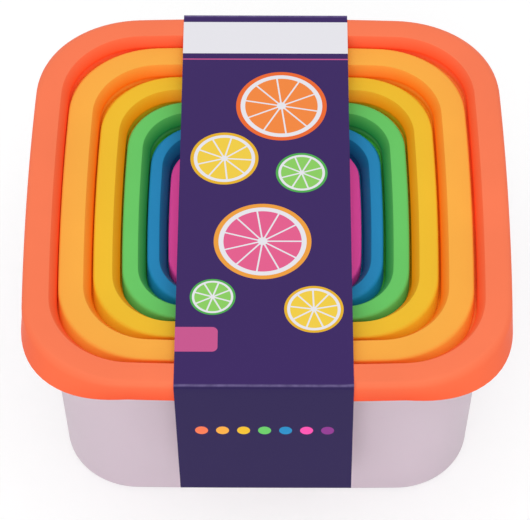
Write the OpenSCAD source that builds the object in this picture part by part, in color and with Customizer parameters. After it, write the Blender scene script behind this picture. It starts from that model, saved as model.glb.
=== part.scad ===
// Nesting set of seven square food tubs with seven snap lids, held by a card sleeve.
// The tubs stand inside one another. The largest lid closes the largest tub, and each
// smaller lid sits in the well of the next larger one, so the rims step down to the middle.
// Frame: +Z up, origin under the middle of the largest tub, the front of the set towards -Y.

/* [Set] */
// Width of the largest lid across the middle of its sides
lid_w = 260; // [240:1:290]
// Height from the table to the top of the largest lid's rim
set_h = 122.8; // [112:0.1:150]

/* [Lids] */
// Width of each lid's flat rim, largest lid first
rim_w = [14.2, 13.2, 10.2, 8.5, 6.5, 6.3, 6]; // [6:0.1:18]
// Outer corner radius of each lid, largest lid first
corner_r = [63, 54, 45.2, 37.8, 33, 27, 21.5]; // [15:0.1:70]
// Depth of each lid's skirt below its rim, largest lid first
skirt_h = [13.1, 6.6, 6.4, 6.2, 6, 5.8, 5.6]; // [5.2:0.1:16]
// Open groove between one lid's rim and the skirt of the lid inside it
groove_w = 5; // [3.5:0.1:6]
// Drop from one lid's rim to the rim of the lid inside it
rim_step = 4.1; // [2.5:0.1:6]
// Depth of the smallest lid's well
least_well = 5; // [4.6:0.1:7]
// Wall of a lid
lid_t = 1.2; // [0.9:0.05:1.25]
// Lean of a well's walls
well_draft = 2; // [1.5:0.1:3]
// Lean of the slope from a rim down into its well
slope_lean = 35; // [25:1:45]
// Rounding of a rim's outer shoulder
shoulder_r = 2.6; // [1.8:0.1:3.2]
// Rounding of a rim's inner edge, and of the other edges inside a well
rim_edge_r = 1.4; // [1.38:0.02:1.8]
// Rounding at the outer foot of a well's ledge
ledge_r = 0.8; // [0.4:0.1:1]
// Rounding between a well's wall and its panel
well_r = 2.5; // [1:0.1:3]

/* [Tubs] */
// Wall and floor of a tub
tub_t = 1.1; // [0.9:0.05:1.15]
// Lean of a tub's wall
tub_draft = 3.5; // [3:0.1:4.2]
// Outer rounding of a tub's base edge
base_r = 4; // [3:0.1:5]
// Width of the band that a tub stands on, inside its base edge
foot_w = 3; // [2:0.1:3.5]
// Height of the raised middle of a tub's base
foot_h = 0.8; // [0.4:0.1:1]
// Depth of the lip under a tub's flange
flange_h = 2.4; // [2:0.1:2.6]
// Rounding of a tub's flange
flange_r = 1.25; // [1.2:0.01:1.3]
// Height lost from each tub to the next, second tub first
tub_drop = [13, 12, 11, 10, 10]; // [8:0.5:15]

/* [Fits] */
// Clearance between the slope under a lid's rim and the tub's inner edge
plug_gap = 0.4; // [0.3:0.05:0.45]
// Clearance between a tub's flange and the lid's skirt
flange_gap = 0.6; // [0.4:0.05:0.7]
// Clearance between the snap bead and the flange that it passes
bead_gap = 0.1; // [0.1:0.05:0.3]
// Clearance between a lid's skirt and the well of the lid that it sits in
nest_gap = 0.8; // [0.6:0.05:1]
// Height of that skirt above the well's ledge
ledge_gap = 0.3; // [0.2:0.05:0.6]
// Head room over the second tub, under the largest lid's panel
head_gap = 1.2; // [0.5:0.1:4]

/* [Sleeve] */
// Width of the card sleeve
sleeve_w = 92.4; // [60:0.1:120]
// Thickness of the card
card_t = 0.6; // [0.4:0.05:1]
// Inner radius of the card's creases
crease_r = 0.8; // [0.4:0.1:2]
// Height of the sleeve's lower edges above the table
sleeve_z = 33; // [20:0.5:70]
// Clearance between the sleeve's flaps and the largest lid
sleeve_gap = 0.4; // [0.3:0.05:1]
// How far the sleeve has slid to the right of the middle
sleeve_x = -1.5; // [-20:0.5:20]

/* [Hidden] */
$fn = 96;
// Steps along a rounding of radius r
function arc_steps(r) = max(2, min(6, round(2 * r)));
// Index of the smallest size
last = len(rim_w) - 1;

LID_COLOURS = ["#fd7f58", "#fbb150", "#eec036", "#62c863", "#288cc0", "#e6449a", "#8e2f8e"];
TUB_COLOUR = [0.83, 0.79, 0.85, 0.55];
CARD_COLOUR = "#412c67";

// Half width of lid i at the middle of a side: each lid clears the rim of the one before
function lid_half(i) = i == 0 ? lid_w / 2 : lid_half(i - 1) - rim_w[i - 1] - groove_w;

// The plan of size i is a square spine with its corners at (c, c), and every wall follows
// the spine at its own distance outside it
function spine_c(i) = lid_half(i) - corner_r[i];

// Distances outside the spine: lid skirt, lid rim's inner edge, tub rim's inner edge, flange
function skirt_x(i) = corner_r[i];
function rim_x(i) = skirt_x(i) - rim_w[i];
function tub_rim_x(i) = rim_x(i) + lid_t / cos(slope_lean) - lid_t * tan(slope_lean) + plug_gap;
function flange_x(i) = skirt_x(i) - lid_t - flange_gap;

// Depth of lid i's well: the next lid's well stands on its panel
function well(i) = least_well + (last - i) * (lid_t + rim_step);
function lid_z(i) = set_h - i * rim_step;

// Width of the slope inside lid i's rim: down to a wall that clears the next lid's skirt, or
// less where the well is shallow
function slope_w(i) =
    let (
        next_low = rim_step + (i < last ? skirt_h[i + 1] : 0),
        lean = tan(well_draft),
        full = (groove_w - nest_gap - next_low * lean) / (1 - lean / tan(slope_lean)),
        room = (well(i) - well_r - 0.4 * rim_edge_r) * tan(slope_lean)
    )
    min(full, room);

// Depth of the ledge under the next lid's skirt, and how far inside the rim's edge the ledge
// ends: past that skirt at the corners, where the groove is widest
function ledge_d(i) = rim_step + skirt_h[i + 1] + ledge_gap;
function ledge_x(i) =
    skirt_x(i + 1) - (spine_c(i) - spine_c(i + 1)) * sqrt(2) - lid_t - nest_gap;
// A well too shallow for a ledge has its panel there
function has_ledge(i) = i < last && well(i) - ledge_d(i) > well_r + 2 * rim_edge_r;
function panel_r(i) = has_ledge(i) || i == last ? well_r : ledge_r;

// Tub i stands on the raised floor of tub i - 1
function tub_z(i) = i * (foot_h + tub_t);
second_tub_h = set_h - well(0) - lid_t - head_gap - tub_z(1);
function tub_h(i) =
    i == 0 ? set_h - lid_t :
    i == 1 ? second_tub_h : tub_h(i - 1) - tub_drop[i - 2];

bead_h = flange_gap - bead_gap;
bead_z = lid_t + flange_h + bead_h;

// Points along an arc round point c, of radius r, from one angle to another
function arc(c, r, from, to) =
    let (steps = arc_steps(r))
    [for (s = [0:steps]) let (a = from + (to - from) * s / steps) c + r * [cos(a), sin(a)]];

function reversed(points) = [for (k = [len(points) - 1:-1:0]) points[k]];
function shifted(points, by) = [for (p = points) p + by];
function flat(lists) = [for (part = lists) for (p = part) p];

// Left-hand normal of the way from point a to point b
function left_of(a, b) = let (way = (b - a) / norm(b - a)) [-way[1], way[0]];

// The corner at b between a and c, rounded to radius r, or the same corner a distance off to
// the right of the way along it
function rounded(a, b, c, r, off) =
    let (
        n = left_of(a, b),
        m = left_of(b, c),
        swing = atan2(n[0] * m[1] - n[1] * m[0], n * m),
        side = sign(swing),
        centre = b + side * r * (n + m) / (1 + n * m),
        first = atan2(n[1], n[0]) + (side > 0 ? 180 : 0)
    )
    arc(centre, r + side * off, first, first + swing);

// Section of a moulded tray of thickness t. The floor's own points come first, then path: the
// corners of the well, the rim and the skirt's lower end, each with its radius. The bead is a
// list of points inside the skirt.
function tray_section(floor_points, path, t, bead) =
    let (
        corners = [for (p = path) [p[0], p[1]]],
        way = concat([floor_points[len(floor_points) - 1]], corners),
        low = corners[len(corners) - 1],
        inner = [for (k = [1:len(way) - 2]) rounded(way[k - 1], way[k], way[k + 1], path[k - 1][2], 0)],
        outer = [for (k = [1:len(way) - 2]) rounded(way[k - 1], way[k], way[k + 1], path[k - 1][2], t)]
    )
    concat(
        floor_points,
        flat(inner),
        [low, low - [t, 0]],
        bead,
        reversed(flat(outer)),
        shifted(reversed(floor_points), [0, -t])
    );

// Corners of lid i's section, with the rim's top at height 0: its panel, the ledge under the
// next lid's skirt, the slope, the rim and the skirt
function lid_path(i) =
    let (
        lean = tan(well_draft),
        slope = [rim_x(i) - slope_w(i), -slope_w(i) / tan(slope_lean)],
        ledge_z = has_ledge(i) ? -ledge_d(i) : 0,
        top = has_ledge(i) ? [ledge_x(i), ledge_z] : slope
    )
    concat(
        [[top[0] - (top[1] + well(i)) * lean, -well(i), panel_r(i)]],
        has_ledge(i) ? [
            [ledge_x(i), ledge_z, rim_edge_r],
            [slope[0] - (slope[1] - ledge_z) * lean, ledge_z, ledge_r]
        ] : [],
        [
            [slope[0], slope[1], rim_edge_r],
            [rim_x(i), 0, rim_edge_r],
            [skirt_x(i), 0, shoulder_r],
            [skirt_x(i), -skirt_h[i]]
        ]
    );

// Corners of tub i's section, with the rim's top at height 0
function tub_path(i, depth) = [
    [tub_rim_x(i) - depth * tan(tub_draft), -depth, base_r - tub_t],
    [tub_rim_x(i), 0, flange_r],
    [flange_x(i), 0, flange_r],
    [flange_x(i), -flange_h]
];

// Sweeps a section round the square spine of size i
module around(i) {
    c = spine_c(i);
    for (quarter = [0:3])
        rotate(90 * quarter)
            translate([c, c, 0]) {
                rotate([90, 0, 0])
                    linear_extrude(2 * c)
                        children();
                rotate_extrude(angle = 90)
                    children();
            }
}

// A plate of thickness t, with its top at height 0, that fills the spine of size i
module spine_plate(i, t) {
    c = spine_c(i);
    translate([-c, -c, -t])
        cube([2 * c, 2 * c, t]);
}

// Lid of size i, closed or nested at its own level
module lid(i) {
    snap_bead = arc([skirt_x(i) - lid_t, -bead_z], bead_h, 270, 90);
    color(LID_COLOURS[i])
        translate([0, 0, lid_z(i)]) {
            around(i)
                polygon(tray_section([[0, -well(i)]], lid_path(i), lid_t, snap_bead));
            translate([0, 0, -well(i)])
                spine_plate(i, lid_t);
        }
}

// Tub of size i, standing in the tub before it
module tub(i) {
    depth = tub_h(i) - tub_t;
    foot_x = tub_rim_x(i) - depth * tan(tub_draft) - base_r - foot_w;
    raised_floor = [[0, foot_h - depth], [foot_x - foot_h, foot_h - depth], [foot_x, -depth]];
    color(TUB_COLOUR)
        translate([0, 0, tub_z(i) + tub_h(i)]) {
            around(i)
                polygon(tray_section(raised_floor, tub_path(i, depth), tub_t, []));
            translate([0, 0, foot_h - depth])
                spine_plate(i, tub_t);
        }
}

// Card sleeve: a flat top across the lids, with a flap hanging in front and behind
module card_sleeve() {
    flap_y = lid_w / 2 + sleeve_gap;
    drop = set_h - sleeve_z;
    crease_c = [flap_y - crease_r, -crease_r];
    outside = concat(arc(crease_c, crease_r + card_t, 90, 0), [[flap_y + card_t, -drop]]);
    inside = concat([[flap_y, -drop]], arc(crease_c, crease_r, 0, 90));
    half = concat(outside, inside);
    color(CARD_COLOUR)
        translate([sleeve_x - sleeve_w / 2, 0, set_h])
            rotate([90, 0, 90])
                linear_extrude(sleeve_w)
                    polygon(concat(
                        outside, inside, [for (p = reversed(half)) [-p[0], p[1]]]
                    ));
}

tub(0);  // tub_1
tub(1);  // tub_2
tub(2);  // tub_3
tub(3);  // tub_4
tub(4);  // tub_5
tub(5);  // tub_6
tub(6);  // tub_7
lid(0);  // lid_1_orange
lid(1);  // lid_2_amber
lid(2);  // lid_3_yellow
lid(3);  // lid_4_green
lid(4);  // lid_5_blue
lid(5);  // lid_6_pink
lid(6);  // lid_7_purple
card_sleeve();
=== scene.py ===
"""Looks of a nesting set of seven square food tubs with seven snap lids under a card sleeve.

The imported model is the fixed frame. Every moulded tray is swept again here as a finer mesh with
the slight outward bow of its sides, and the card sleeve is drawn with its sag, creases and print.
Lengths in the dataclasses are millimetres, and meshes are in metres.
"""

import logging
import math
from dataclasses import dataclass
from enum import Enum
from typing import Any

import bpy
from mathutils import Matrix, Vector


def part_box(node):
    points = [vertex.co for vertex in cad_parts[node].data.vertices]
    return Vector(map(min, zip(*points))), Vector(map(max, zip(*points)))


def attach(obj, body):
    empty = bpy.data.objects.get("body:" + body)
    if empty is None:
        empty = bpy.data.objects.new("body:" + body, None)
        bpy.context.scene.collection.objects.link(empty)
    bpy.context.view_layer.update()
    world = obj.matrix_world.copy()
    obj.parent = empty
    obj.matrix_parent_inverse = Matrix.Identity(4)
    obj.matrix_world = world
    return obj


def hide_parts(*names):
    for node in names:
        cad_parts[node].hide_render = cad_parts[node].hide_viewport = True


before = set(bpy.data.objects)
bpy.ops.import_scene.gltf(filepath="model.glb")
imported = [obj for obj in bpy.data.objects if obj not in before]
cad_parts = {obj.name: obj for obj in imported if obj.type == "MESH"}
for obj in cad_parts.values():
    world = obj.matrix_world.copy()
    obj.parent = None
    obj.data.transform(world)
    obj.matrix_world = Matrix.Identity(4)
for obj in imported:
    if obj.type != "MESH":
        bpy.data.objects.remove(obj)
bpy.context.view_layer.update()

LOG = logging.getLogger("nesting_set")
MM = 0.001
IMAGE_W = 530
FLAT_CARD = "flat_card"
# Mesh attribute with each lid point's share of painted shade and painted light.
PAINTED_SHADE_AND_LIGHT = "painted_shade_and_light"
WHITE = "#ffffff"
SHARP_DEG = 40.0

Point = tuple[float, float]
Colour = tuple[float, float, float, float]
Tree = bpy.types.NodeTree
Socket = bpy.types.NodeSocket
ALL_NOISE: Point = (0.0, 1.0)
MOST_NOISE: Point = (0.3, 0.7)


def linear(code: str) -> Colour:
    """Turns an sRGB hex code to a linear colour.

    Args:
        code: Six hex digits after a hash sign.

    Returns:
        Red, green, blue and an alpha of 1.
    """
    channels = [int(code[k : k + 2], 16) / 255 for k in (1, 3, 5)]
    low = [c / 12.92 if c <= 0.04045 else ((c + 0.055) / 1.055) ** 2.4 for c in channels]
    return (low[0], low[1], low[2], 1.0)


def add_node(
    tree: Tree, kind: str, inputs: dict[str | int, Any] | None = None, **settings: Any
) -> bpy.types.Node:
    """Adds one node with its settings, values and links.

    Args:
        tree: The node tree that gets the node.
        kind: Blender's name of the node type.
        inputs: Socket name or number to a value, or to an output socket to link from.
        settings: Properties of the node itself.

    Returns:
        The new node.
    """
    node = tree.nodes.new(kind)
    for name, value in settings.items():
        setattr(node, name, value)
    for name, value in (inputs or {}).items():
        if isinstance(value, Socket):
            tree.links.new(value, node.inputs[name])
        else:
            node.inputs[name].default_value = value
    return node


def chain(tree: Tree, kind: str, value: Socket, *steps: tuple[str, Any]) -> Socket:
    """Runs a value through a row of nodes of one type.

    Args:
        tree: The node tree that gets the nodes.
        kind: Blender's name of the node type.
        value: What goes in first.
        steps: Each node's operation and its second input.

    Returns:
        The last node's output.
    """
    for operation, by in steps:
        value = add_node(tree, kind, {0: value, 1: by}, operation=operation).outputs[0]
    return value


def new_material(name: str) -> tuple[bpy.types.Material, Tree]:
    """Makes an empty node material.

    Args:
        name: Name of the material.

    Returns:
        The material and its cleared node tree.
    """
    material = bpy.data.materials.new(name)
    material.use_nodes = True
    material.node_tree.nodes.clear()
    return material, material.node_tree


def clouded(
    tree: Tree, place: Socket, length: float, ends: Point, detail: float, span: Point = ALL_NOISE
) -> tuple[Socket, Socket]:
    """Lays a cloudy pattern over a surface.

    Args:
        tree: The material's node tree.
        place: Coordinates on the surface.
        length: Size of the clouds, in the coordinates' unit.
        ends: Lowest and highest value.
        detail: How finely the clouds break up.
        span: Part of the noise that lies between those values.

    Returns:
        The plain noise, and the noise between the two values.
    """
    noise = add_node(tree, "ShaderNodeTexNoise", {"Vector": place, "Scale": 1 / length, "Detail": detail})
    values = add_node(
        tree, "ShaderNodeMapRange",
        {"Value": noise.outputs[0], "From Min": span[0], "From Max": span[1],
         "To Min": ends[0], "To Max": ends[1]},
    )
    return noise.outputs[0], values.outputs[0]


class LidColour(Enum):
    """Lid colours, largest first: rim, painted shade on slope and skirt, and painted light on the well's
    wall.
    """

    ORANGE = ("#ff7d54", "#ff5525", "#ff9648")
    AMBER = ("#ffb144", "#ff7608", "#ffa61c")
    YELLOW = ("#f5c22b", "#fb9200", "#ffb010")
    GREEN = ("#6bcf68", "#269442", "#4cc148")
    BLUE = ("#218fc8", "#0a6298", "#1c86bc")
    PINK = ("#ff52b2", "#e0389a", "#ff50b0")
    PURPLE = ("#913591", "#7c2a80", "#913591")

    @property
    def rim(self) -> str:
        """Colour of the open plastic."""
        return self.value[0]

    @property
    def groove(self) -> str:
        """Deeper colour that paints shade on the slope inside the rim and down the skirt."""
        return self.value[1]

    @property
    def well(self) -> str:
        """Paler colour that paints light shining through the well's wall."""
        return self.value[2]


@dataclass(frozen=True)
class MouldedPolyethylene:
    """Soft LDPE lid, injection moulded in a fine-eroded mould.

    It gives an even, saturated colour with a satin sheen and a very fine grain, and no sharp
    mirror reflections. Painted shade deepens its slope and skirt, and painted light its well's wall.

    Attributes:
        colour: Colours of the lid.
        grain_mm: Size of the grain. The real one is near 0.05 mm, and is drawn coarser to show.
        flow_mm: Size of the cloudy flow marks.
        flow: Lowest and highest brightness in them.
    """

    colour: LidColour
    roughness: Point = (0.43, 0.53)
    ior: float = 1.51
    sheen_level: float = 0.14
    grain_mm: float = 0.9
    grain_share: float = 0.05
    grain_depth_mm: float = 0.05
    flow_mm: float = 45.0
    flow: Point = (0.95, 1.0)

    def make(self) -> bpy.types.Material:
        """Builds the node material.

        Returns:
            The lid's material.
        """
        material, tree = new_material(f"ldpe_moulded_{self.colour.name.lower()}")
        place = add_node(tree, "ShaderNodeTexCoord").outputs["Object"]
        _, shade = clouded(tree, place, self.flow_mm * MM, self.flow, 2.0, MOST_NOISE)
        # Mix in painted shade on the slope and skirt, and painted light on the well's wall.
        groove = add_node(tree, "ShaderNodeAttribute", attribute_name=PAINTED_SHADE_AND_LIGHT)
        with_painted_shade = add_node(
            tree, "ShaderNodeMix",
            {0: groove.outputs["Fac"], 6: linear(self.colour.rim), 7: linear(self.colour.groove)},
            data_type="RGBA",
        )
        below = add_node(tree, "ShaderNodeMath", {0: groove.outputs["Fac"], 1: -1.0}, operation="MULTIPLY")
        depth = add_node(
            tree, "ShaderNodeMix",
            {0: below.outputs[0], 6: with_painted_shade.outputs[2], 7: linear(self.colour.well)},
            data_type="RGBA",
        )
        tint = add_node(
            tree, "ShaderNodeMix",
            {0: 1.0, 6: depth.outputs[2], 7: shade},
            data_type="RGBA", blend_type="MULTIPLY",
        )
        grain, gloss = clouded(tree, place, self.grain_mm * MM, self.roughness, 3.0)
        bump = add_node(
            tree, "ShaderNodeBump",
            {"Height": grain, "Strength": self.grain_share, "Distance": self.grain_depth_mm * MM},
        )
        surface = add_node(
            tree, "ShaderNodeBsdfPrincipled",
            {"Base Color": tint.outputs[2], "Roughness": gloss, "IOR": self.ior,
             "Specular IOR Level": self.sheen_level, "Normal": bump.outputs[0]},
        )
        add_node(tree, "ShaderNodeOutputMaterial", {"Surface": surface.outputs[0]})
        return material


@dataclass(frozen=True)
class FrostedPolypropylene:
    """Natural PP, injection moulded thin and left uncoloured.

    It gives a milky wall that lets some light through, with a faint lilac cast and a satin skin.

    Attributes:
        tint: Colour of the milky plastic.
        clear_share: Lowest and highest share of the light that passes through.
        cloud_mm: Size of the milky clouds.
        frost_mm: Size of the frosting. The real one is near 0.05 mm, and is drawn coarser to show.
    """

    tint: str = "#ecdae6"
    clear_share: Point = (0.28, 0.32)
    roughness: Point = (0.4, 0.5)
    ior: float = 1.49
    cloud_mm: float = 30.0
    frost_mm: float = 0.7

    def make(self) -> bpy.types.Material:
        """Builds the node material.

        Returns:
            The tubs' material.
        """
        material, tree = new_material("polypropylene_frosted")
        place = add_node(tree, "ShaderNodeTexCoord").outputs["Object"]
        _, milk = clouded(tree, place, self.cloud_mm * MM, self.clear_share, 2.0, MOST_NOISE)
        _, gloss = clouded(tree, place, self.frost_mm * MM, self.roughness, 3.0)
        surface = add_node(
            tree, "ShaderNodeBsdfPrincipled",
            {"Base Color": linear(self.tint), "Roughness": gloss, "IOR": self.ior,
             "Transmission Weight": milk},
        )
        add_node(tree, "ShaderNodeOutputMaterial", {"Surface": surface.outputs[0]})
        return material


@dataclass(frozen=True)
class Plan:
    """Rounded square that a tray's walls follow: four bowed sides between corner centres.

    Attributes:
        corner: Distance of a corner's centre from the middle planes.
        bow: How far the middle of a side stands out past its ends.
    """

    corner: float
    bow: float
    side_steps: int = 24
    corner_steps: int = 20

    @property
    def middle(self) -> float:
        """Distance of a side's middle from the set's middle plane."""
        return self.corner + self.bow

    def stations(self) -> list[tuple[Point, Point]]:
        """Walks once round the plan, anticlockwise from the right side.

        Returns:
            Base point and outward unit normal at each station.
        """
        radius = (self.corner**2 + self.bow**2) / (2 * self.bow)
        lean = math.asin(self.corner / radius)
        centre = self.middle - radius
        walk = []
        for quarter in range(4):
            turn = quarter * math.pi / 2
            side = [-lean + 2 * lean * k / self.side_steps for k in range(self.side_steps)]
            for angle in side:
                base = (centre + radius * math.cos(angle), radius * math.sin(angle))
                walk.append((turned(base, turn), turned((math.cos(angle), math.sin(angle)), turn)))
            sweep = math.pi / 2 - 2 * lean
            for k in range(self.corner_steps):
                angle = lean + sweep * k / self.corner_steps
                base = (self.corner, self.corner)
                walk.append((turned(base, turn), turned((math.cos(angle), math.sin(angle)), turn)))
        return walk


def turned(point: Point, angle: float) -> Point:
    """Turns a point about the origin, anticlockwise by an angle in radians."""
    c, s = math.cos(angle), math.sin(angle)
    return (c * point[0] - s * point[1], s * point[0] + c * point[1])


def arc(centre: Point, radius: float, start: float, end: float, steps: int) -> list[Point]:
    """Walks an arc between two angles in degrees, in straight steps, with both ends."""
    angles = [math.radians(start + (end - start) * k / steps) for k in range(steps + 1)]
    return [(centre[0] + radius * math.cos(a), centre[1] + radius * math.sin(a)) for a in angles]


@dataclass(frozen=True)
class Corner:
    """One corner of a section.

    Attributes:
        place: Distance out from the plan, and height from the rim's top.
        radius: Its rounding on the upper face.
        least_r: The smallest rounding under it.
        small_r: Up to here a rounding gets fewer steps.
    """

    place: Point
    radius: float
    least_r: float = 0.05
    small_r: float = 1.0
    steps: int = 8
    small_steps: int = 4

    def rounded(self, before: Point, after: Point, off: float) -> list[Point]:
        """Rounds the corner, on the upper face or a distance under it.

        Args:
            before: The point that the section comes from.
            after: The point that it goes on to.
            off: Distance under the upper face.

        Returns:
            The points of the rounding.
        """
        here = Vector(self.place)
        coming = (here - Vector(before)).normalized()
        going = (Vector(after) - here).normalized()
        first, second = Vector((-coming.y, coming.x)), Vector((-going.y, going.x))
        swing = math.atan2(coming.x * going.y - coming.y * going.x, coming.dot(going))
        side = math.copysign(1.0, swing)
        centre = here + side * self.radius * (first + second) / (1 + first.dot(second))
        start = math.degrees(math.atan2(first.y, first.x)) + (180.0 if side > 0 else 0.0)
        radius = max(self.radius + side * off, self.least_r)
        steps = self.steps if radius > self.small_r else self.small_steps
        return arc(tuple(centre), radius, start, start + math.degrees(swing), steps)


@dataclass(frozen=True)
class TraySection:
    """Section of a moulded tray, out from its plan and with its rim's top at height 0.

    Attributes:
        floor: Points of the floor's upper face, from the middle out.
        corners: Corners of the well, the rim and the shoulder.
        low: Lower outer edge of the skirt.
        wall: Thickness of the moulding.
        bead: Height of the snap bead inside the skirt, or 0.
        bead_z: Depth of the bead's middle below the rim.
        lip_r: Rounding of the skirt's lower edges.
        slope: Distance out and depth that hold the slope inside the rim.
        fade_d: Depth over which the painted shade comes in below the rim.
        well_w: How far inside the rim the well's wall gets the paler painted light.
        skirt_share: Share of painted shade down the skirt.
    """

    floor: tuple[Point, ...]
    corners: tuple[Corner, ...]
    low: Point
    wall: float
    bead: float = 0.0
    bead_z: float = 0.0
    lip_r: float = 0.3
    lip_steps: int = 3
    bead_steps: int = 6
    slope: Point = (0.0, 0.0)
    fade_d: float = 0.5
    well_w: float = 7.0
    skirt_share: float = 0.0

    def face(self, off: float) -> list[Point]:
        """Walks from the floor over the rim.

        Args:
            off: Distance under the upper face.

        Returns:
            The points of every rounding, in turn.
        """
        way = [self.floor[-1], *(corner.place for corner in self.corners), self.low]
        points = []
        for before, corner, after in zip(way, self.corners, way[2:]):
            points += corner.rounded(before, after, off)
        return points

    def points(self) -> list[Point]:
        """Outline from the floor's top, over the rim and back under the floor.

        Returns:
            The outline's points.
        """
        out, low = self.low
        lip, inside = self.lip_r, out - self.wall
        edge = arc((out - lip, low + lip), lip, 0, -90, self.lip_steps)
        edge += arc((inside + lip, low + lip), lip, 270, 180, self.lip_steps)
        snap = arc((inside, -self.bead_z), self.bead, 270, 90, self.bead_steps) if self.bead else []
        under = [(x, z - self.wall) for x, z in reversed(self.floor)]
        return [*self.floor, *self.face(0.0), *edge, *snap, *reversed(self.face(self.wall)), *under]

    def flare(self, point: Point) -> float:
        """Share of a finger lip's reach at a point: 0 on the rim, 1 at the skirt's lower edge."""
        on_skirt = point[0] > self.low[0] - self.wall - self.bead - self.lip_r
        return min(1.0, max(0.0, point[1] / self.low[1])) if on_skirt else 0.0

    def painted_shade_and_light(self, point: Point) -> float:
        """Share of painted shade and light: none on the rim, full shade on the slope, some down the skirt.

        Args:
            point: A point of the outline.

        Returns:
            The share: 0 is the rim's colour, 1 the deeper painted shade, and -1 the paler painted light on
                the well's wall.
        """
        out, depth = self.slope
        # On the skirt: painted shade, growing towards its lower edge.
        if point[0] > out:
            return min(1.0, self.skirt_share * self.flare(point))
        # Deep in the well: painted light on its wall.
        if point[1] < -depth:
            return -1.0 if point[0] > out - self.well_w else 0.0
        # On the slope under the rim: painted shade.
        return min(1.0, -min(point[1], 0.0) / self.fade_d)


@dataclass
class MouldedTray:
    """One lid or tub: a section swept round its plan, with a flat floor.

    Attributes:
        name: Name of the piece.
        node: The CAD node that it stands for.
        body: The body that it rides on.
        slot: The record's material slot. It is not used.
        plan: The plan that the section follows.
        section: The section.
        top: Height of the rim's top.
        lip: How far the skirt's lower edge stands out at the corners, for a finger.
        lip_spread: How tightly that lip keeps to the corners.
        slip: How far the piece has slid to the right in its seat.
        pale_lip: How much of the skirt's painted shade is taken off at the lip, which lies open to light.
    """

    name: str
    node: str
    body: str
    slot: str
    plan: Plan
    section: TraySection
    top: float
    lip: float = 0.0
    lip_spread: float = 1.5
    slip: float = 0.0
    pale_lip: float = 0.6

    def mesh(self) -> bpy.types.Mesh:
        """Sweeps the section into a closed mesh.

        Returns:
            The mesh, in metres and in the set's own frame.
        """
        outline = self.section.points()
        walk = self.plan.stations()
        count = len(outline)
        flares = [self.section.flare(point) for point in outline]
        # Painted shade and painted light at each outline point, with less painted shade at the open finger
        # lips.
        shade_light_shares = [self.section.painted_shade_and_light(point) for point in outline]
        verts, vertex_shade_light = [], []
        for (bx, by), (nx, ny) in walk:
            corner = abs(2 * nx * ny) ** self.lip_spread
            for (out, up), flare, tint in zip(outline, flares, shade_light_shares):
                reach = out + self.lip * corner * flare
                x, y = bx + reach * nx + self.slip, by + reach * ny
                verts.append((x * MM, y * MM, (self.top + up) * MM))
                vertex_shade_light.append(tint * (1 - self.pale_lip * corner * flare))
        faces = []
        for s in range(len(walk)):
            here, after = s * count, (s + 1) % len(walk) * count
            for k in range(count - 1):
                faces.append((here + k, after + k, after + k + 1, here + k + 1)[::-1])
        faces.append([s * count for s in range(len(walk))])
        faces.append([s * count + count - 1 for s in reversed(range(len(walk)))])
        mesh = bpy.data.meshes.new(self.name)
        mesh.from_pydata(verts, [], faces)
        mesh.attributes.new(PAINTED_SHADE_AND_LIGHT, "FLOAT", "POINT")
        mesh.attributes[PAINTED_SHADE_AND_LIGHT].data.foreach_set("value", vertex_shade_light)
        mesh.shade_smooth()
        mesh.set_sharp_from_angle(angle=math.radians(SHARP_DEG))
        return mesh

    def build(self, finish: bpy.types.Material) -> bpy.types.Object:
        """Places the piece on its body with its finish.

        Args:
            finish: The piece's material.

        Returns:
            The new object.
        """
        piece = bpy.data.objects.new(self.name, self.mesh())
        bpy.context.scene.collection.objects.link(piece)
        piece.data.materials.append(finish)
        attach(piece, self.body)
        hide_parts(self.node)
        return piece


@dataclass(frozen=True)
class SizeStep:
    """What sets one size of the nest apart, in millimetres.

    Attributes:
        corner: Distance of the corners' centres from the middle planes.
        rim_w: Width of the lid's flat rim.
        skirt_h: Depth of the lid's skirt.
        lip: How far the skirt's lower edge stands out at the corners, for a finger.
        colour: Colours of the lid.
        slip: How far the lid has slid to the right in its seat.
    """

    corner: float
    rim_w: float
    skirt_h: float
    lip: float
    colour: LidColour
    slip: float = 0.0


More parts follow.
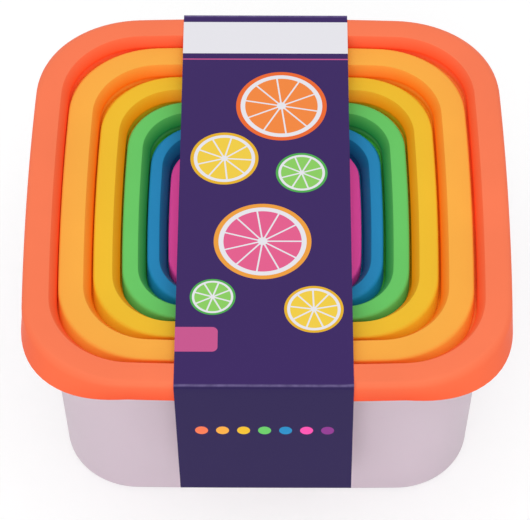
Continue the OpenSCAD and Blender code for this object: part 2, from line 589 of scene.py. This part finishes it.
@dataclass(frozen=True)
class NestingTrays:
    """The seven lids and seven tubs.

    Attributes:
        steps: The sizes, largest first.
        bow_share: Bow of a lid's side for each millimetre of its half length.
        tub_bow_share: The same for a tub's side.
        rim_step: How far each rim lies below the one before.
        slope_lean: Lean of the solids' slope, in degrees, which places the tubs' rims.
        slope_w: Width of the slope inside a lid's rim.
        slope_d: Its depth.
        skirt_share: Share of painted shade down the largest lid's skirt.
        tub_step: Width and depth of the step under a tub's rim.
        seat_gap: What a wall is thinner by, so that seats don't share a face.
        start: Distance outside the plan at which the flat floor ends and the sweep starts.
    """

    steps: tuple[SizeStep, ...] = (
        SizeStep(70.0, 14.2, 13.1, 6.5, LidColour.ORANGE),
        SizeStep(59.7, 13.2, 6.6, 4.0, LidColour.AMBER, -0.5),
        SizeStep(49.0, 10.2, 6.4, 4.2, LidColour.YELLOW, -0.7),
        SizeStep(41.5, 8.5, 6.2, 3.0, LidColour.GREEN, -0.8),
        SizeStep(32.0, 6.5, 6.0, 3.6, LidColour.BLUE, -1.1),
        SizeStep(27.0, 6.3, 5.8, 2.0, LidColour.PINK, -1.3),
        SizeStep(21.5, 6.0, 5.6, 2.0, LidColour.PURPLE, -1.3),
    )
    bow_share: float = 0.017
    tub_bow_share: float = 0.006
    rim_step: float = 4.1
    lid_t: float = 1.2
    well_draft: float = 2.0
    slope_lean: float = 35.0
    well_r: float = 2.5
    rim_edge_r: float = 1.4
    slope_w: float = 4.0
    slope_d: float = 5.6
    slope_edge_r: float = 0.5
    ledge_r: float = 0.8
    nest_gap: float = 0.8
    ledge_gap: float = 0.3
    shoulder_r: float = 3.4
    skirt_share: float = 1.7
    inner_shoulder_r: float = 1.3
    bead: float = 0.5
    tub_t: float = 1.1
    tub_draft: float = 2.75
    tub_step: Point = (1.7, 12.0)
    base_r: float = 4.0
    foot_w: float = 3.0
    foot_h: float = 0.8
    flange_h: float = 2.4
    flange_r: float = 1.25
    flange_edge_r: float = 1.9
    plug_gap: float = 0.4
    flange_gap: float = 0.6
    seat_gap: float = 0.03
    start: float = 2.0

    def lid_plan(self, index: int) -> tuple[Plan, float]:
        """Works out a lid's plan from its CAD node's box.

        Args:
            index: Place in the row of sizes, from 0.

        Returns:
            The plan, and the skirt's distance outside it.
        """
        step = self.steps[index]
        plan = Plan(step.corner, step.corner * self.bow_share)
        _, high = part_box(self.lid_node(index))
        return plan, high.x / MM - plan.middle

    def lid_node(self, index: int) -> str:
        """Names a lid's CAD node, from its place in the row of sizes."""
        return f"lid_{index + 1}_{self.steps[index].colour.name.lower()}"

    def well_corners(self, index: int, inner: float, depth: float) -> list[Corner]:
        """Corners of a lid's well: its panel, the ledge under the next lid's skirt, and the slope.

        Args:
            index: Place in the row of sizes, from 0.
            inner: Distance of the rim's inner edge outside the plan.
            depth: Depth of the panel below the rim.

        Returns:
            The corners, from the panel up to the rim's inner edge.
        """
        lean = math.tan(math.radians(self.well_draft))
        has_next = index + 1 < len(self.steps)
        next_low = self.rim_step + (self.steps[index + 1].skirt_h if has_next else 0.0)
        foot = (inner - self.slope_w, -self.slope_d)
        ledge_z = -next_low - self.ledge_gap
        corners = [Corner(foot, self.slope_edge_r), Corner((inner, 0.0), self.slope_edge_r)]
        edge, panel_r = foot, self.well_r
        if not has_next:
            corners = [Corner((inner, 0.0), self.rim_edge_r)]
            edge = (inner, 0.0)
        elif depth + ledge_z > self.well_r + 2 * self.rim_edge_r:
            plan, outer = self.lid_plan(index + 1)
            apart = (self.steps[index].corner - plan.corner) * math.sqrt(2)
            edge = (outer - apart - self.lid_t - self.nest_gap, ledge_z)
            corners.insert(0, Corner((foot[0] - (foot[1] - ledge_z) * lean, ledge_z), self.ledge_r))
            corners.insert(0, Corner(edge, self.rim_edge_r))
        else:
            panel_r = self.ledge_r
        return [Corner((edge[0] - (edge[1] + depth) * lean, -depth), panel_r), *corners]

    def lid(self, index: int) -> MouldedTray:
        """Works out one lid from its CAD node's box.

        Args:
            index: Place in the row of sizes, from 0.

        Returns:
            The lid.
        """
        step = self.steps[index]
        node = self.lid_node(index)
        low, high = (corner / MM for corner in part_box(node))
        plan, outer = self.lid_plan(index)
        depth = high.z - low.z - self.lid_t
        corners = self.well_corners(index, outer - step.rim_w, depth)
        shoulder_r = self.inner_shoulder_r if index else self.shoulder_r
        section = TraySection(
            floor=((self.start, -depth),),
            corners=(*corners, Corner((outer, 0.0), shoulder_r)),
            low=(outer, -step.skirt_h), wall=self.lid_t - self.seat_gap, bead=self.bead,
            bead_z=self.lid_t + self.flange_h + self.bead,
            slope=(outer - step.rim_w + self.slope_edge_r, self.slope_d + self.slope_edge_r),
            # Painted shade down the skirt, on the largest lid only.
            skirt_share=0.0 if index else self.skirt_share,
        )
        colour = step.colour.name.lower()
        return MouldedTray(
            f"{colour}_lid_shell", node, f"lid_{index + 1}", f"lid_{colour}", plan, section, high.z,
            lip=step.lip, slip=step.slip,
        )

    def tub(self, index: int) -> MouldedTray:
        """Works out one tub from its CAD node's box.

        Args:
            index: Place in the row of sizes, from 0.

        Returns:
            The tub.
        """
        step = self.steps[index]
        node = f"tub_{index + 1}"
        low, high = (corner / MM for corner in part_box(node))
        plan = Plan(step.corner, step.corner * self.tub_bow_share)
        outer = high.x - plan.middle
        slope = math.radians(self.slope_lean)
        plug = self.lid_t / math.cos(slope) - self.lid_t * math.tan(slope) + self.plug_gap
        inner = outer - (step.rim_w - self.lid_t - self.flange_gap - plug)
        _, skirt = self.lid_plan(index)
        edge = skirt - self.lid_t - self.flange_gap
        depth = high.z - low.z - self.tub_t
        lean = math.tan(math.radians(self.tub_draft))
        step_in, step_z = self.tub_step
        under = inner - step_z * lean
        base = inner - step_in - depth * lean
        band = base - self.base_r - self.foot_w
        section = TraySection(
            floor=(
                (self.start, self.foot_h - depth), (band - self.foot_h, self.foot_h - depth), (band, -depth)
            ),
            corners=(
                Corner((base, -depth), self.base_r - self.tub_t),
                Corner((under - step_in - step_in * lean, -step_z - step_in), self.flange_r),
                Corner((under, -step_z), self.flange_r),
                Corner((inner, 0.0), self.flange_r),
                Corner((edge, 0.0), self.flange_edge_r),
            ),
            low=(edge, -self.flange_h), wall=self.tub_t - self.seat_gap,
        )
        return MouldedTray(f"{node}_shell", node, node, "frosted_tub", plan, section, high.z)

    def build(self) -> list[bpy.types.Object]:
        """Builds every lid and tub.

        Returns:
            The new objects.
        """
        frosted = FrostedPolypropylene().make()
        pieces = [self.tub(index).build(frosted) for index in range(len(self.steps))]
        for index, step in enumerate(self.steps):
            pieces.append(self.lid(index).build(MouldedPolyethylene(step.colour).make()))
        return pieces


@dataclass(frozen=True)
class FruitSlice:
    """One printed round of citrus, in millimetres on the flat card.

    Attributes:
        place: Middle of the slice, across and along the card.
        radius: Outer radius of its rind.
        flesh: Colour of its segments.
        rind: Colour of its rind.
        segments: Number of segments.
        turn: Turn of the segments, as a share of one segment.
    """

    place: Point
    radius: float
    flesh: str
    rind: str
    segments: int = 9
    turn: float = 0.0


@dataclass(frozen=True)
class PrintedPatch:
    """One plain printed rectangle with round corners, in millimetres on the flat card."""

    low: Point
    high: Point
    colour: str
    corner: float = 0.0


@dataclass(frozen=True)
class CoatedBoard:
    """Solid bleached board, offset printed and film laminated.

    It gives a deep even ink with a soft gloss, pale crease lines that are rubbed ink and a painted
    highlight on the bend, and a plain white back and cut edge.

    Attributes:
        creases: Places along the flat card where its creases are rubbed and carry a painted highlight.
        fibre_mm: Size of the fibres. Real ones are near 0.03 mm wide, and are drawn coarser to show.
        patches: Darker navy on the front flap as painted shade, a white band, a thin line and a tab.
        rings: Shares of a slice's radius at which its core, flesh and pith end.
        membrane_end: Share of the radius that the membranes reach.
        rub_span: Length of the rubbed and highlighted spots, in widths of a crease.
        rub_core: Share of a crease's width that is rubbed and highlighted most.
    """

    creases: tuple[float, ...]
    ink: str = "#392261"
    # Pale crease colour: rubbed ink and a painted highlight on the bend.
    worn_and_highlight: str = "#786a9b"
    white: str = "#e9e8ee"
    back: tuple[str, str] = ("#dcd8d4", "#efece8")
    back_roughness: float = 0.8
    roughness: Point = (0.39, 0.51)
    film_level: float = 0.15
    fibre_mm: float = 1.2
    fibre_share: float = 0.06
    fibre_depth_mm: float = 0.05
    crease_mm: float = 1.0
    rub_span: float = 5.0
    rub_core: float = 1 / 3
    rub_level: float = 1.2
    membrane_mm: float = 0.9
    rings: tuple[float, float, float] = (0.1, 0.8, 0.9)
    membrane_end: float = 0.85
    least_corner: float = 0.01
    slices: tuple[FruitSlice, ...] = (
        FruitSlice((9.0, 62.0), 25.0, "#f5893f", "#ee6a2c", 10, 0.3),
        FruitSlice((-22.0, 24.0), 18.5, "#f3cf45", "#e9b428", 9, 0.1),
        FruitSlice((20.0, 14.0), 14.0, "#8ccf62", "#4fae4e", 8, 0.6),
        FruitSlice((-1.0, -34.0), 26.0, "#e65f8f", "#f0a03c", 11, 0.0),
        FruitSlice((-27.0, -72.0), 12.0, "#8ccf62", "#4fae4e", 8, 0.4),
        FruitSlice((26.0, -80.0), 15.5, "#f3cf45", "#e9b428", 9, 0.7),
    )
    patches: tuple[PrintedPatch, ...] = (
        # Darker navy over the front flap: painted shade on its upright face.
        PrintedPatch((-60.0, -260.0), (60.0, -129.0), "#26164e"),
        PrintedPatch((-60.0, 101.0), (60.0, 125.0), "#e9e8ee"),
        PrintedPatch((-60.0, 96.2), (60.0, 97.0), "#c9568f"),
        PrintedPatch((-60.0, -108.0), (-24.0, -92.0), "#c9568f", 3.0),
    )
    dots: tuple[LidColour, ...] = tuple(LidColour)
    dots_along: float = -168.0
    dots_step: float = 11.0
    dot_r: float = 3.4

    def printed(self) -> bpy.types.Material:
        """Builds the printed face from the card's own flat coordinates.

        Returns:
            The material of the sleeve's outside.
        """
        material, tree = new_material("board_offset_printed")
        flat = add_node(tree, "ShaderNodeAttribute", attribute_name=FLAT_CARD).outputs["Vector"]
        colour = linear(self.ink)
        for patch in self.patches:
            colour = self.patch(tree, flat, colour, patch)
        for fruit in self.slices:
            colour = self.fruit(tree, flat, colour, fruit)
        first = -self.dots_step * (len(self.dots) - 1) / 2
        corner = Vector((self.dot_r, self.dot_r))
        for k, dot in enumerate(self.dots):
            middle = Vector((first + k * self.dots_step, self.dots_along))
            spot = PrintedPatch(tuple(middle - corner), tuple(middle + corner), dot.rim, self.dot_r)
            colour = self.patch(tree, flat, colour, spot)
        # Pale creases: rubbed ink and a painted highlight on each bend.
        colour = self.wear_and_highlight(tree, flat, colour)
        fibre, gloss = clouded(tree, flat, self.fibre_mm, self.roughness, 2.0)
        bump = add_node(
            tree, "ShaderNodeBump",
            {"Height": fibre, "Strength": self.fibre_share, "Distance": self.fibre_depth_mm * MM},
        )
        surface = add_node(
            tree, "ShaderNodeBsdfPrincipled",
            {"Base Color": colour, "Roughness": gloss, "Normal": bump.outputs[0],
             "Specular IOR Level": self.film_level},
        )
        add_node(tree, "ShaderNodeOutputMaterial", {"Surface": surface.outputs[0]})
        return material

    def patch(self, tree: Tree, flat: Socket, under: Any, patch: PrintedPatch) -> Socket:
        """Prints one plain patch over what is under it.

        Args:
            tree: The material's node tree.
            flat: The card's flat coordinates.
            under: Colour, or output socket, of what is printed so far.
            patch: The patch.

        Returns:
            The colour output with the patch.
        """
        low, high = Vector(patch.low).to_3d(), Vector(patch.high).to_3d()
        inset, zero = Vector((patch.corner, patch.corner, 0)), Vector()
        past = chain(
            tree, "ShaderNodeVectorMath", flat,
            ("SUBTRACT", (low + high) / 2), ("ABSOLUTE", zero),
            ("SUBTRACT", (high - low) / 2 - inset), ("MAXIMUM", zero),
        )
        reach = add_node(tree, "ShaderNodeVectorMath", {0: past}, operation="LENGTH")
        inside = add_node(
            tree, "ShaderNodeMath",
            {0: reach.outputs["Value"], 1: max(patch.corner, self.least_corner)}, operation="LESS_THAN",
        )
        over = add_node(
            tree, "ShaderNodeMix", {0: inside.outputs[0], 6: under, 7: linear(patch.colour)}, data_type="RGBA"
        )
        return over.outputs[2]

    def fruit(self, tree: Tree, flat: Socket, under: Any, fruit: FruitSlice) -> Socket:
        """Prints one slice: rind, pith, segments and the membranes between them.

        Args:
            tree: The material's node tree.
            flat: The card's flat coordinates.
            under: Colour, or output socket, of what is printed so far.
            fruit: The slice.

        Returns:
            The colour output with the slice.
        """
        offset = add_node(
            tree, "ShaderNodeVectorMath", {0: flat, 1: Vector(fruit.place).to_3d()}, operation="SUBTRACT"
        )
        length = add_node(tree, "ShaderNodeVectorMath", {0: offset.outputs[0]}, operation="LENGTH")
        reach = length.outputs["Value"]
        share = add_node(tree, "ShaderNodeMath", {0: reach, 1: fruit.radius}, operation="DIVIDE").outputs[0]
        rings = add_node(tree, "ShaderNodeValToRGB", {0: share})
        ramp = rings.color_ramp
        ramp.interpolation = "CONSTANT"
        white, flesh, rind = linear(self.white), linear(fruit.flesh), linear(fruit.rind)
        bands = tuple(zip((0.0, *self.rings), (white, flesh, white, rind)))
        while len(ramp.elements) < len(bands):
            ramp.elements.new(1.0)
        for element, (start, shade) in zip(ramp.elements, bands):
            element.position, element.color = start, shade
        axes = add_node(tree, "ShaderNodeSeparateXYZ", {0: offset.outputs[0]})
        core = add_node(tree, "ShaderNodeMath", {0: share, 1: self.membrane_end}, operation="LESS_THAN")
        segment = math.tau / fruit.segments
        line = chain(
            tree, "ShaderNodeMath", axes.outputs[1],
            ("ARCTAN2", axes.outputs[0]), ("ADD", math.tau + fruit.turn * segment), ("PINGPONG", segment / 2),
            ("MULTIPLY", reach), ("LESS_THAN", self.membrane_mm / 2), ("MULTIPLY", core.outputs[0]),
        )
        cut = add_node(tree, "ShaderNodeMix", {0: line, 6: rings.outputs[0], 7: white}, data_type="RGBA")
        inside = add_node(tree, "ShaderNodeMath", {0: share, 1: 1.0}, operation="LESS_THAN")
        over = add_node(
            tree, "ShaderNodeMix", {0: inside.outputs[0], 6: under, 7: cut.outputs[2]}, data_type="RGBA"
        )
        return over.outputs[2]

    def wear_and_highlight(self, tree: Tree, flat: Socket, under: Socket) -> Socket:
        """Rubs the ink thin along the creases and paints a highlight on their bends.

        Args:
            tree: The material's node tree.
            flat: The card's flat coordinates.
            under: Output socket of what is printed.

        Returns:
            The colour output with the rubbed and highlighted creases.
        """
        along = add_node(tree, "ShaderNodeSeparateXYZ", {0: flat}).outputs[1]
        _, rub = clouded(tree, flat, self.rub_span * self.crease_mm, ALL_NOISE, 3.0)
        for crease in self.creases:
            distance = chain(tree, "ShaderNodeMath", along, ("SUBTRACT", crease), ("ABSOLUTE", 0.0))
            band = add_node(
                tree, "ShaderNodeMapRange",
                {"Value": distance, "From Min": self.crease_mm,
                 "From Max": self.crease_mm * self.rub_core, "To Min": 0.0, "To Max": self.rub_level},
            )
            thin = add_node(
                tree, "ShaderNodeMath", {0: band.outputs[0], 1: rub}, operation="MULTIPLY", use_clamp=True
            )
            over = add_node(
                tree, "ShaderNodeMix", {0: thin.outputs[0], 6: under, 7: linear(self.worn_and_highlight)}, data_type="RGBA"
            )
            under = over.outputs[2]
        return under

    def bare(self) -> bpy.types.Material:
        """Builds the unprinted back and the cut edges.

        Returns:
            The material of the sleeve's inside.
        """
        material, tree = new_material("board_bleached_uncoated")
        place = add_node(tree, "ShaderNodeTexCoord").outputs["Object"]
        _, fibre = clouded(tree, place, self.fibre_mm * MM, ALL_NOISE, 4.0)
        shade = add_node(
            tree, "ShaderNodeMix",
            {0: fibre, 6: linear(self.back[0]), 7: linear(self.back[1])}, data_type="RGBA",
        )
        surface = add_node(
            tree, "ShaderNodeBsdfPrincipled",
            {"Base Color": shade.outputs[2], "Roughness": self.back_roughness},
        )
        add_node(tree, "ShaderNodeOutputMaterial", {"Surface": surface.outputs[0]})
        return material


@dataclass(frozen=True)
class CardSleeve:
    """The card sleeve: a top that lies across the lids, and a flap in front and behind.

    Attributes:
        node: The CAD node that it stands for.
        card_t: Thickness of the card.
        crease_r: Outer radius of a crease.
        sag: How far the middle of the top sags between the rims.
        sag_half: Distance from the middle at which the sag starts.
        ear_w: Width of the small curled corner at the front crease.
        ear_l: Its length along the card.
        ear_lift: How far it stands up.
        draw_in: How far the front flap's left and right edges are cut in by its lower end.
    """

    node: str = "card_sleeve"
    body: str = "sleeve"
    card_t: float = 0.57
    crease_r: float = 1.4
    sag: float = 0.8
    sag_half: float = 100.0
    across_steps: int = 32
    top_steps: int = 64
    flap_steps: int = 24
    crease_steps: int = 8
    ear_w: float = 6.0
    ear_l: float = 8.0
    ear_lift: float = 1.1
    draw_in: Point = (1.7, -0.5)

    def line(self) -> list[tuple[Point, Point, float]]:
        """Walks along the card's outside, from the front flap's lower edge to the back's.

        Returns:
            Place in Y and Z, outward normal, and distance along the flat card from its middle.
        """
        low, high = (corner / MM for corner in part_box(self.node))
        flat_half = self.flat_half
        bend = self.crease_r * math.pi / 2
        top_z, crease_z = high.z, high.z - self.crease_r
        half = []
        for k in range(self.top_steps // 2, self.top_steps + 1):
            y = flat_half * (2 * k / self.top_steps - 1)
            dip = self.sag * max(0.0, 1 - (y / self.sag_half) ** 2) ** 2
            half.append(((y, top_z - dip), (0.0, 1.0), y))
        for k in range(1, self.crease_steps + 1):
            share = k / self.crease_steps
            angle = math.pi / 2 * (1 - share)
            normal = (math.cos(angle), math.sin(angle))
            place = (flat_half + self.crease_r * normal[0], crease_z + self.crease_r * normal[1])
            half.append((place, normal, flat_half + bend * share))
        for k in range(1, self.flap_steps + 1):
            drop = (crease_z - low.z) * k / self.flap_steps
            half.append(((high.y, crease_z - drop), (1.0, 0.0), flat_half + bend + drop))
        front = [((-y, z), (-ny, nz), -along) for (y, z), (ny, nz), along in half[:0:-1]]
        return front + half

    @property
    def flat_half(self) -> float:
        """Half the length of the top, up to where its bends start."""
        _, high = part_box(self.node)
        return (high / MM).y - self.crease_r

    def mesh(self) -> bpy.types.Mesh:
        """Builds the card as a closed sheet with its flat coordinates on each point.

        Returns:
            The mesh, in metres and in the set's own frame.
        """
        low, high = (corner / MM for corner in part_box(self.node))
        middle = (low.x + high.x) / 2
        walk = self.line()
        crease = -self.flat_half - self.crease_r * math.pi / 4
        columns = [low.x + (high.x - low.x) * k / self.across_steps for k in range(self.across_steps + 1)]
        verts, flats = [], []
        front = crease - walk[0][2]
        for inset in (0.0, self.card_t):
            for (y, z), (ny, nz), along in walk:
                pull = max(0.0, (crease - along) / front)
                for x in columns:
                    lift = self.ear(high.x - x, along - crease)
                    share = (x - low.x) / (high.x - low.x)
                    aside = x + pull * (self.draw_in[0] * (1 - share) - self.draw_in[1] * share)
                    verts.append((aside * MM, (y - ny * inset) * MM, (z - nz * inset + lift) * MM))
                    flats.append((x - middle, along, 0.0))
        rows, cols = len(walk), len(columns)
        size = rows * cols
        faces, printed = [], []
        for r in range(rows - 1):
            for c in range(cols - 1):
                k = r * cols + c
                faces.append((k, k + 1, k + cols + 1, k + cols))
                faces.append((k + size, k + size + cols, k + size + cols + 1, k + size + 1))
                printed += [0, 1]
        edge = [*range(cols), *(r * cols + cols - 1 for r in range(1, rows))]
        edge += [size - 1 - c for c in range(1, cols)] + [r * cols for r in range(rows - 2, 0, -1)]
        for here, after in zip(edge, edge[1:] + edge[:1]):
            faces.append((after, here, here + size, after + size))
            printed.append(1)
        mesh = bpy.data.meshes.new("sleeve_card")
        mesh.from_pydata(verts, [], faces)
        mesh.polygons.foreach_set("material_index", printed)
        mesh.attributes.new(FLAT_CARD, "FLOAT_VECTOR", "POINT")
        mesh.attributes[FLAT_CARD].data.foreach_set("vector", [v for flat in flats for v in flat])
        mesh.shade_smooth()
        mesh.set_sharp_from_angle(angle=math.radians(SHARP_DEG))
        return mesh

    def ear(self, aside: float, back: float) -> float:
        """Lift of the small curled corner at the right end of the front crease.

        Args:
            aside: Distance in from the card's right edge.
            back: Distance behind the front crease along the flat card.

        Returns:
            How far the card stands up there.
        """
        past = 1 - aside / self.ear_w - back / self.ear_l
        near_crease = min(1.0, max(0.0, back / self.crease_r))
        return max(0.0, past) * self.ear_lift * near_crease

    def build(self) -> bpy.types.Object:
        """Places the sleeve on its body.

        Returns:
            The new object.
        """
        piece = bpy.data.objects.new("sleeve_card", self.mesh())
        bpy.context.scene.collection.objects.link(piece)
        board = CoatedBoard((-self.flat_half, self.flat_half))
        piece.data.materials.append(board.printed())
        piece.data.materials.append(board.bare())
        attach(piece, self.body)
        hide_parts(self.node)
        return piece


@dataclass(frozen=True)
class Studio:
    """White sweep, soft light and the camera.

    The camera is in millimetres and degrees, and the floor and the lights are in metres.

    Attributes:
        floor_seen: Shade of the floor where it is seen, under its glow.
        floor_lit: Shade of the floor that lights the set from below.
        floor_glow: What lifts the seen floor to white.
        room: Brightness of the white room on the set.
        key: Brightness that the soft box adds on a level surface.
        fill: Brightness that the front card adds on a surface that faces it.
    """

    target_z: float = 60.0
    target_y: float = 3.47
    target_x: float = -1.35
    elevation: float = 51.3
    azimuth: float = 0.22
    distance: float = 1635.0
    focal_px: float = 2938.0
    sensor_mm: float = 36.0
    clip_m: float = 100.0
    floor_m: float = 12.0
    floor_seen: str = "#b4b4b4"
    floor_lit: str = "#ececec"
    floor_glow: float = 0.58
    floor_roughness: float = 0.5
    room: float = 0.78
    key: float = 0.15
    key_m: float = 1.6
    key_z: float = 1.6
    key_y: float = -0.1
    fill: float = 0.25
    fill_m: float = 2.0
    fill_place: tuple[float, float, float] = (-0.3, -2.4, 1.1)
    bounces: int = 24

    def camera(self) -> None:
        """Sets the camera at the photographed angle."""
        data = bpy.data.cameras.new("camera")
        data.sensor_width = self.sensor_mm
        data.lens = self.sensor_mm * self.focal_px / IMAGE_W
        data.clip_end = self.clip_m
        camera = bpy.data.objects.new("camera", data)
        bpy.context.scene.collection.objects.link(camera)
        up, round_z = math.radians(self.elevation), math.radians(self.azimuth)
        away = Vector((math.sin(round_z) * math.cos(up), -math.cos(round_z) * math.cos(up), math.sin(up)))
        target = Vector((self.target_x, self.target_y, self.target_z)) * MM
        camera.location = target + away * self.distance * MM
        camera.rotation_euler = (-away).to_track_quat("-Z", "Y").to_euler()
        bpy.context.scene.camera = camera

    def seen_rays(self, tree: Tree) -> Socket:
        """Marks the rays that show the background: camera, mirror and see-through rays.

        Args:
            tree: A node tree.

        Returns:
            An output that is 1 for those rays.
        """
        rays = add_node(tree, "ShaderNodeLightPath").outputs
        return chain(
            tree, "ShaderNodeMath", rays["Is Camera Ray"],
            ("MAXIMUM", rays["Is Transmission Ray"]), ("MAXIMUM", rays["Is Glossy Ray"]),
        )

    def floor(self) -> None:
        """Lays the floor, which looks white and keeps the set's shadow."""
        half = self.floor_m / 2
        mesh = bpy.data.meshes.new("floor")
        corners = [(-half, -half, 0), (half, -half, 0), (half, half, 0), (-half, half, 0)]
        mesh.from_pydata(corners, [], [(0, 1, 2, 3)])
        floor = bpy.data.objects.new("floor", mesh)
        bpy.context.scene.collection.objects.link(floor)
        material, tree = new_material("paper_sweep_white")
        seen = self.seen_rays(tree)
        shade = add_node(
            tree, "ShaderNodeMix",
            {0: seen, 6: linear(self.floor_lit), 7: linear(self.floor_seen)}, data_type="RGBA",
        )
        glow = add_node(tree, "ShaderNodeMath", {0: seen, 1: self.floor_glow}, operation="MULTIPLY")
        surface = add_node(
            tree, "ShaderNodeBsdfPrincipled",
            {"Base Color": shade.outputs[2], "Roughness": self.floor_roughness,
             "Emission Color": linear(WHITE), "Emission Strength": glow.outputs[0]},
        )
        add_node(tree, "ShaderNodeOutputMaterial", {"Surface": surface.outputs[0]})
        mesh.materials.append(material)

    def lights(self) -> None:
        """Lights the set with a white room, a large soft box above it and a card in front."""
        world = bpy.data.worlds.new("white_room")
        world.use_nodes = True
        tree = world.node_tree
        tree.nodes.clear()
        level = add_node(
            tree, "ShaderNodeMapRange", {"Value": self.seen_rays(tree), "To Min": self.room, "To Max": 1.0}
        )
        room = add_node(
            tree, "ShaderNodeBackground", {"Color": linear(WHITE), "Strength": level.outputs[0]}
        )
        add_node(tree, "ShaderNodeOutputWorld", {"Surface": room.outputs[0]})
        bpy.context.scene.world = world
        self.card_light("soft_box", self.key, self.key_m, Vector((0.0, self.key_y, self.key_z)))
        self.card_light("front_card", self.fill, self.fill_m, Vector(self.fill_place))

    def card_light(self, name: str, level: float, side_m: float, place: Vector) -> None:
        """Hangs one large soft light that faces the set.

        Args:
            name: Name of the light.
            level: Brightness that it adds on a surface that faces it.
            side_m: Side of its square, in metres.
            place: Where it hangs, in metres.
        """
        light = bpy.data.lights.new(name, "AREA")
        light.shape = "SQUARE"
        light.size = side_m
        away = place - Vector((0.0, 0.0, self.target_z * MM))
        light.energy = level * math.pi**2 * away.length_squared
        card = bpy.data.objects.new(name, light)
        card.location = place
        card.rotation_euler = away.to_track_quat("Z", "Y").to_euler()
        bpy.context.scene.collection.objects.link(card)

    def build(self) -> None:
        """Sets camera, floor and lights."""
        bpy.context.scene.view_settings.view_transform = "Standard"
        bpy.context.scene.cycles.max_bounces = self.bounces
        bpy.context.scene.cycles.diffuse_bounces = self.bounces
        self.camera()
        self.floor()
        self.lights()


def main() -> None:
    """Builds the studio and every piece."""
    logging.basicConfig(level=logging.INFO)
    Studio().build()
    pieces = NestingTrays().build()
    pieces.append(CardSleeve().build())
    for piece in pieces:
        LOG.info("%s: %d faces", piece.name, len(piece.data.polygons))
    bpy.context.view_layer.update()


if __name__ == "__main__":
    main()
